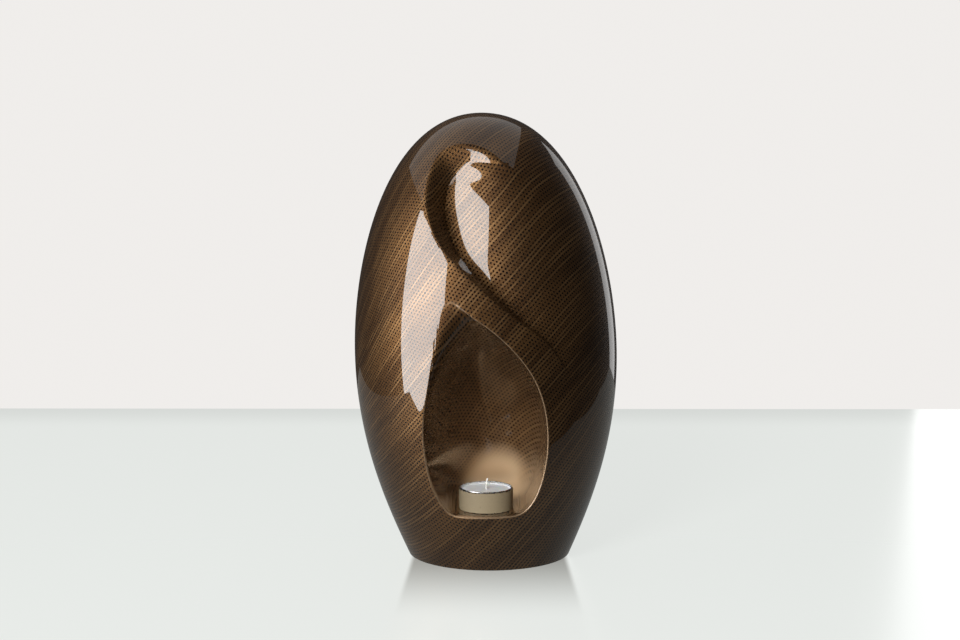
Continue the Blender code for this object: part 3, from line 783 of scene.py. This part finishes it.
def build_bung():
    """Moulded rubber bung: a flange with a finger groove and a dimple, and a plug with sealing ridges."""
    flange, height, place = seat("base_stopper")
    plug = FILL_HOLE_RADIUS - PLUG_CLEARANCE
    step = RECESS_DEPTH - BUNG_SEAT_GAP - place[2]
    outline = [(0.0, BUNG_DIMPLE), (0.0012, BUNG_DIMPLE), (0.0022, 0.0), (0.008, 0.0), (0.0084, 0.0)]
    outline += [(0.0094, BUNG_GROOVE), (0.0132, BUNG_GROOVE), (0.0142, 0.0), (0.0146, 0.0)]
    outline += arc((flange - BUNG_ROUND, BUNG_ROUND), BUNG_ROUND, -90, 0, 5)
    outline += arc((flange - BUNG_ROUND, step - BUNG_ROUND), BUNG_ROUND, 0, 90, 5)
    outline += [(plug - BUNG_RIDGE, step)]
    for k in range(1, 24):
        up = k / 24
        ridge = BUNG_RIDGE * (1 - math.cos(BUNG_RIDGES * 2 * math.pi * up)) / 2
        outline.append((plug - PLUG_TAPER * up - BUNG_RIDGE + ridge, step + (height - step) * up))
    outline += arc((plug - PLUG_TAPER - BUNG_RIDGE - BUNG_ROUND, height - BUNG_ROUND), BUNG_ROUND, 0, 90, 4)
    outline += [(0.010, height), (0.0, height)]
    return turned("base_stopper_moulded", outline, place)


# Materials

class Nodes:
    """Short calls for building a material's nodes."""

    def __init__(self, name):
        self.material = bpy.data.materials.new(name)
        self.material.use_nodes = True
        self.tree = self.material.node_tree
        self.shader = self.tree.nodes["Principled BSDF"]

    def node(self, kind, **settings):
        result = self.tree.nodes.new(kind)
        for key, value in settings.items():
            setattr(result, key, value)
        return result

    def feed(self, socket, value):
        """Sets a socket to a number or colour, or links another socket to it."""
        if isinstance(value, bpy.types.NodeSocket):
            self.tree.links.new(value, socket)
        else:
            socket.default_value = value

    def math(self, operation, *values):
        node = self.node("ShaderNodeMath", operation=operation)
        for socket, value in zip(node.inputs, values):
            self.feed(socket, value)
        return node.outputs[0]

    def steps(self, value, low, high, start=0.0, end=1.0):
        """Smooth change from start to end as the value goes from low to high."""
        node = self.node("ShaderNodeMapRange", interpolation_type="SMOOTHSTEP")
        for socket, given in zip(node.inputs, (value, low, high, start, end)):
            self.feed(socket, given)
        return node.outputs[0]

    def mix(self, amount, first, second):
        node = self.node("ShaderNodeMix", data_type="RGBA")
        self.feed(node.inputs["Factor"], amount)
        self.feed(node.inputs[6], first)
        self.feed(node.inputs[7], second)
        return node.outputs[2]

    def noise(self, vector, scale, detail=2.0, roughness=0.5, dimensions="3D"):
        node = self.node("ShaderNodeTexNoise", noise_dimensions=dimensions)
        if vector is not None:
            self.feed(node.inputs["Vector"], vector)
        self.feed(node.inputs["Scale"], scale)
        self.feed(node.inputs["Detail"], detail)
        self.feed(node.inputs["Roughness"], roughness)
        return node.outputs["Fac"]

    def combine(self, x, y, z=0.0):
        node = self.node("ShaderNodeCombineXYZ")
        for socket, value in zip(node.inputs, (x, y, z)):
            self.feed(socket, value)
        return node.outputs[0]

    def split(self, attribute):
        """The three values of a mesh attribute."""
        node = self.node("ShaderNodeSeparateXYZ")
        source = self.node("ShaderNodeAttribute", attribute_name=attribute)
        self.feed(node.inputs[0], source.outputs["Vector"])
        return node.outputs

    def place(self):
        return self.node("ShaderNodeTexCoord").outputs["Object"]

    def set(self, **values):
        """Sets or links the shader's sockets, named with underscores for spaces."""
        for key, value in values.items():
            self.feed(self.shader.inputs[key.replace("_", " ")], value)

    def bump(self, height, distance, strength=1.0):
        node = self.node("ShaderNodeBump")
        self.feed(node.inputs["Height"], height)
        self.feed(node.inputs["Distance"], distance)
        self.feed(node.inputs["Strength"], strength)
        self.feed(self.shader.inputs["Normal"], node.outputs["Normal"])


def colour(red, green, blue):
    return (red, green, blue, 1.0)


DOT_RADIUS = 0.66            # millimetres
DOT_SPREAD = 0.22            # from the smallest dot's radius to the largest one's
DOT_SOFTNESS = 0.16
LINE_LENGTH = 0.045          # fineness of the bright lines' lengths
BAND_ROWS = 0.13             # bands for each row of dots


def printed_bronze():
    """Golden brown print with rows of dark dots and thin bright lines between the rows, over a metallic
    ground and under gloss lacquer. In the niche it is duller and painted lighter, which is painted light; at
    the foot of the niche's back it is bare gold painted pale as a painted glow; along its lip it is lighter,
    partly a worn gold edge and partly a painted highlight."""
    n = Nodes("printed_bronze")
    rows, crosses, _ = n.split("print")
    # painted glow at the niche's back, painted highlight along the lip, and the niche painted lighter
    bare, lip, deep = n.split("finish")
    row = n.math("ROUND", rows)
    cross = n.math("ROUND", crosses)
    off_row = n.math("SUBTRACT", rows, row)
    off_cross = n.math("SUBTRACT", crosses, cross)

    # distance from the nearest dot, from the angle between the two families of rows
    row_row, cross_cross, row_cross = dot_metric()
    square = n.math("MULTIPLY", n.math("MULTIPLY", off_row, off_row), row_row)
    square = n.math("ADD", square, n.math("MULTIPLY", n.math("MULTIPLY", off_cross, off_cross), cross_cross))
    square = n.math("ADD", square, n.math("MULTIPLY", n.math("MULTIPLY", off_row, off_cross), row_cross))
    distance = n.math("SQRT", n.math("MAXIMUM", square, 0.0))
    chance = n.node("ShaderNodeTexWhiteNoise", noise_dimensions="2D")
    n.feed(chance.inputs["Vector"], n.combine(row, cross))
    radius = n.math("MULTIPLY_ADD", chance.outputs["Value"], DOT_SPREAD, DOT_RADIUS - DOT_SPREAD / 2)
    dot = n.steps(n.math("SUBTRACT", distance, radius), -DOT_SOFTNESS, DOT_SOFTNESS, 1.0, 0.0)
    plain = n.math("MAXIMUM", bare, n.math("MULTIPLY", lip, 0.9))
    dot = n.math("MULTIPLY", dot, n.math("SUBTRACT", 1.0, plain))

    # bright lines between the rows, each with its own stretches
    between = n.math("ADD", rows, 0.5)
    gap = n.math("ROUND", between)
    off_gap = n.math("ABSOLUTE", n.math("SUBTRACT", between, gap))
    stretch = n.noise(n.combine(n.math("MULTIPLY", gap, 7.31), n.math("MULTIPLY", crosses, LINE_LENGTH)),
                      1.0, 1.0, 0.5, "2D")
    line = n.math("MULTIPLY", n.steps(off_gap, 0.05, 0.40, 1.0, 0.0), n.steps(stretch, 0.42, 0.70))
    band = n.noise(n.combine(n.math("MULTIPLY", rows, BAND_ROWS), n.math("MULTIPLY", crosses, 0.015)),
                   1.0, 2.0, 0.5, "2D")
    cloud = n.steps(n.noise(n.place(), 14.0, 3.0), 0.35, 0.65)

    ground = n.mix(n.steps(band, 0.35, 0.65), colour(0.080, 0.036, 0.0110), colour(0.132, 0.064, 0.0210))
    ground = n.mix(n.math("MULTIPLY", cloud, 0.3), ground, colour(0.074, 0.038, 0.015))
    ground = n.mix(n.math("MULTIPLY", line, 0.33), ground, colour(0.36, 0.21, 0.09))
    # painted light: the niche is painted lighter the deeper it is carved
    ground = n.mix(n.math("MULTIPLY", deep, 0.3), ground, colour(0.26, 0.155, 0.080))
    ground = n.mix(dot, ground, colour(0.004, 0.002, 0.001))
    # painted glow: the bare foot of the niche's back is painted pale
    ground = n.mix(bare, ground, colour(0.68, 0.49, 0.30))
    # lighter along the lip: partly a worn gold edge, partly a painted highlight
    ground = n.mix(n.math("MULTIPLY", lip, 0.6), ground, colour(0.50, 0.35, 0.22))
    dull = n.math("MAXIMUM", deep, bare)
    n.set(Base_Color=ground, Metallic=n.math("MULTIPLY_ADD", dull, -0.60, 0.80))
    n.set(Roughness=n.math("MULTIPLY_ADD", dot, 0.10, 0.55))
    n.set(Coat_Weight=1.0, Coat_Roughness=0.025, Coat_IOR=1.5, IOR=1.45)
    return n.material


def dot_metric():
    """Weights of the two offsets and of their product in a dot's squared distance."""
    row = np.array([-ROW_RUN, ROW_RISE])
    cross = np.array([CROSS_RUN, CROSS_RISE])
    inverse = np.linalg.inv(np.array([[row @ row, row @ cross], [row @ cross, cross @ cross]]))
    return float(inverse[0, 0]), float(inverse[1, 1]), float(2 * inverse[0, 1])


def bare_cast():
    """Unglazed cast body on the underside and in the hollow."""
    n = Nodes("bare_cast")
    grain = n.noise(n.place(), 900.0, 3.0)
    cloud = n.noise(n.place(), 60.0, 2.0)
    tone = n.mix(cloud, colour(0.30, 0.22, 0.15), colour(0.42, 0.33, 0.24))
    tone = n.mix(n.steps(grain, 0.55, 0.7), tone, colour(0.22, 0.16, 0.11))
    n.set(Base_Color=tone, Roughness=n.steps(grain, 0.3, 0.7, 0.75, 0.9))
    n.bump(grain, 0.0002)
    return n.material


def foil():
    """Thin bright aluminium, a little wavy."""
    n = Nodes("tealight_foil")
    wave = n.noise(n.place(), 400.0, 2.0)
    n.set(Base_Color=n.mix(wave, colour(0.72, 0.72, 0.73), colour(0.84, 0.84, 0.84)), Metallic=1.0)
    n.set(Roughness=n.steps(wave, 0.3, 0.7, 0.22, 0.36))
    n.bump(wave, 0.0001)
    return n.material


def card():
    """Natural card with fine fibres and flecks."""
    n = Nodes("natural_card")
    fibre = n.node("ShaderNodeMapping")
    n.feed(fibre.inputs["Vector"], n.place())
    fibre.inputs["Scale"].default_value = (1.0, 1.0, 3.5)
    fibres = n.noise(fibre.outputs[0], 900.0, 4.0, 0.6)
    flecks = n.steps(n.noise(n.place(), 1500.0, 2.0), 0.66, 0.76)
    tone = n.mix(fibres, colour(0.20, 0.155, 0.090), colour(0.34, 0.275, 0.175))
    tone = n.mix(n.math("MULTIPLY", flecks, 0.8), tone, colour(0.09, 0.06, 0.03))
    n.set(Base_Color=tone, Roughness=0.85)
    n.bump(fibres, 0.00006)
    return n.material


def wax_finish():
    """Smooth white wax with a soft translucence."""
    n = Nodes("white_wax")
    cloud = n.noise(n.place(), 260.0, 3.0)
    n.set(Base_Color=n.mix(cloud, colour(0.84, 0.85, 0.83), colour(0.90, 0.91, 0.90)))
    n.set(Roughness=n.steps(cloud, 0.3, 0.7, 0.34, 0.46), Subsurface_Weight=0.35)
    n.shader.inputs["Subsurface Radius"].default_value = (1.0, 0.8, 0.6)
    n.shader.inputs["Subsurface Scale"].default_value = 0.003
    n.bump(cloud, 0.00005)
    return n.material


def cotton():
    """Waxed white cotton."""
    n = Nodes("waxed_cotton")
    twist = n.noise(n.place(), 3000.0, 2.0)
    n.set(Base_Color=n.mix(twist, colour(0.62, 0.60, 0.54), colour(0.84, 0.83, 0.79)), Roughness=0.7)
    n.bump(twist, 0.00005)
    return n.material


def rubber():
    """Matte black rubber with a faint moulding grain."""
    n = Nodes("black_rubber")
    grain = n.noise(n.place(), 1200.0, 3.0)
    n.set(Base_Color=n.mix(grain, colour(0.018, 0.018, 0.018), colour(0.040, 0.040, 0.040)))
    n.set(Roughness=n.steps(grain, 0.3, 0.7, 0.6, 0.8))
    n.bump(grain, 0.00008)
    return n.material


def add_piece(mesh, *finishes):
    for finish in finishes:
        mesh.materials.append(finish)
    piece = bpy.data.objects.new(mesh.name, mesh)
    bpy.context.scene.collection.objects.link(piece)
    return piece


body = add_piece(build_body(), printed_bronze(), bare_cast())
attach(body, BODY)
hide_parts("urn_body")

for mesh, node, finish, slot in (
    (build_cup(), "tealight_cup", foil(), "cup_metal"),
    (build_sleeve(), "tealight_sleeve", card(), "sleeve_card"),
    (build_wax(), "tealight_wax", wax_finish(), "wax"),
    (build_wick(), "tealight_wick", cotton(), "wick_cotton"),
    (build_bung(), "base_stopper", rubber(), "bung_rubber"),
):
    piece = add_piece(mesh, finish)
    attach(piece, BODY)
    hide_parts(node)


# Studio

WALL_TONE = (0.87, 0.85, 0.83)
FLOOR_TONE = (0.80, 0.825, 0.80)
FLOOR_END = 0.557
# the painted reflection of the urn's foot on the floor: a darker strip ahead of it
MIRROR_HALF_WIDTH = 0.055
MIRROR_LENGTH = 0.19
MIRROR_WIDENING = 0.047      # for each metre ahead of the urn
FLOOR_SEEN_IN_GLOSS = [(-0.5, -0.23), (0.08, -0.21), (0.23, -0.15), (0.36, -0.08), (0.575, 0.24), (0.65, 0.6),
                       (-0.5, 0.6)]


def add_plane(name, corners, z, finish):
    mesh = bpy.data.meshes.new(name)
    mesh.from_pydata([(x, y, z) for x, y in corners], [], [tuple(range(len(corners)))])
    plane = add_piece(mesh, finish)
    return plane


def floor_finish():
    """Pale floor that glows evenly and takes a soft shadow. It is darker where it meets the wall, which is
    painted shade, and ahead of the urn's foot, which is a painted reflection of the foot."""
    n = Nodes("pale_floor")
    place = n.node("ShaderNodeSeparateXYZ")
    n.feed(place.inputs[0], n.place())
    # painted shade where the floor meets the wall
    end = n.steps(place.outputs[1], FLOOR_END - 0.10, FLOOR_END, 0.0, 0.5)
    # painted reflection of the urn's foot: the floor is darker ahead of it
    beside = n.math("ABSOLUTE", n.math("SUBTRACT", place.outputs[0], axis_x(0.0)))
    ahead = n.math("MULTIPLY", place.outputs[1], -1.0)
    width = n.math("MULTIPLY_ADD", ahead, MIRROR_WIDENING, MIRROR_HALF_WIDTH)
    painted_reflection = n.math("MULTIPLY", n.steps(n.math("SUBTRACT", beside, width), -0.002, 0.003, 1.0, 0.0),
                    n.steps(ahead, 0.0, MIRROR_LENGTH, 0.75, 0.0))
    tone = n.mix(end, colour(*FLOOR_TONE), colour(0.60, 0.62, 0.60))
    n.set(Base_Color=colour(0.11, 0.115, 0.11), Roughness=0.22)
    n.set(Emission_Color=n.mix(painted_reflection, tone, colour(0.12, 0.11, 0.09)), Emission_Strength=0.90)
    return n.material


def glow_finish(name, tone, strength):
    n = Nodes(name)
    n.set(Base_Color=colour(0.0, 0.0, 0.0), Roughness=1.0)
    n.set(Emission_Color=tone, Emission_Strength=strength)
    return n.material


def add_light(name, place, aim, size, power):
    light = bpy.data.lights.new(name, "AREA")
    light.shape = "RECTANGLE"
    light.size, light.size_y = size
    light.energy = power
    lamp = bpy.data.objects.new(name, light)
    lamp.location = place
    lamp.rotation_euler = (Vector(aim) - Vector(place)).to_track_quat("-Z", "Y").to_euler()
    lamp.visible_camera = False
    bpy.context.scene.collection.objects.link(lamp)
    return lamp


def around(azimuth, distance, height):
    """Place at a turn from the front, positive to the right, on a circle about the urn."""
    turn = math.radians(azimuth)
    return (distance * math.sin(turn), -distance * math.cos(turn), height)


floor = add_plane("floor", [(-4.0, -4.0), (4.0, -4.0), (4.0, FLOOR_END), (-4.0, FLOOR_END)], 0.0,
                  floor_finish())
floor.visible_glossy = False
floor.visible_diffuse = False

# The lacquer mirrors a smaller and dimmer floor than the camera sees.
mirrored = add_plane("floor_seen_in_gloss", FLOOR_SEEN_IN_GLOSS, -0.0004,
                     glow_finish("dim_floor", colour(*FLOOR_TONE), 0.25))
for ray in ("camera", "diffuse", "shadow", "transmission"):
    setattr(mirrored, "visible_" + ray, False)

# The softbox is seen only in reflections, and the two fills, unseen in them, light the print evenly.
softbox = add_light("left_softbox", around(-54.5, 0.85, 0.25), (0.0, 0.0, 0.15), (0.62, 0.90), 17.0)
softbox.visible_diffuse = False
add_light("top_panel", (-0.45, 0.48, 1.1), (-0.45, 0.481, 0.0), (1.9, 1.53), 5.0)
add_light("right_panel", around(141.5, 0.9, 0.30), (0.0, 0.0, 0.2), (0.27, 0.75), 0.7)
for name, turn, height, power in (("high_fill", -20, 1.15, 28.0), ("low_fill", -14, 0.05, 14.0)):
    fill = add_light(name, around(turn, 1.5, height), (0.0, 0.0, 0.12), (0.5, 0.4), power)
    fill.visible_glossy = False

world = bpy.data.worlds.new("studio")
world.use_nodes = True
bpy.context.scene.world = world
tree = world.node_tree
paths = tree.nodes.new("ShaderNodeLightPath")
blend = tree.nodes.new("ShaderNodeMix")
blend.data_type = "RGBA"
tree.links.new(paths.outputs["Is Camera Ray"], blend.inputs["Factor"])
blend.inputs[6].default_value = colour(0.03, 0.03, 0.03)
blend.inputs[7].default_value = colour(*WALL_TONE)
tree.links.new(blend.outputs[2], tree.nodes["Background"].inputs["Color"])

camera_data = bpy.data.cameras.new("camera")
camera_data.lens = LENS
camera_data.sensor_width = SENSOR
camera = bpy.data.objects.new("camera", camera_data)
camera.location = CAMERA_PLACE
camera.rotation_euler = (Vector(CAMERA_AIM) - Vector(CAMERA_PLACE)).to_track_quat("-Z", "Y").to_euler()
bpy.context.scene.collection.objects.link(camera)
bpy.context.scene.camera = camera
bpy.context.scene.view_settings.view_transform = "Standard"
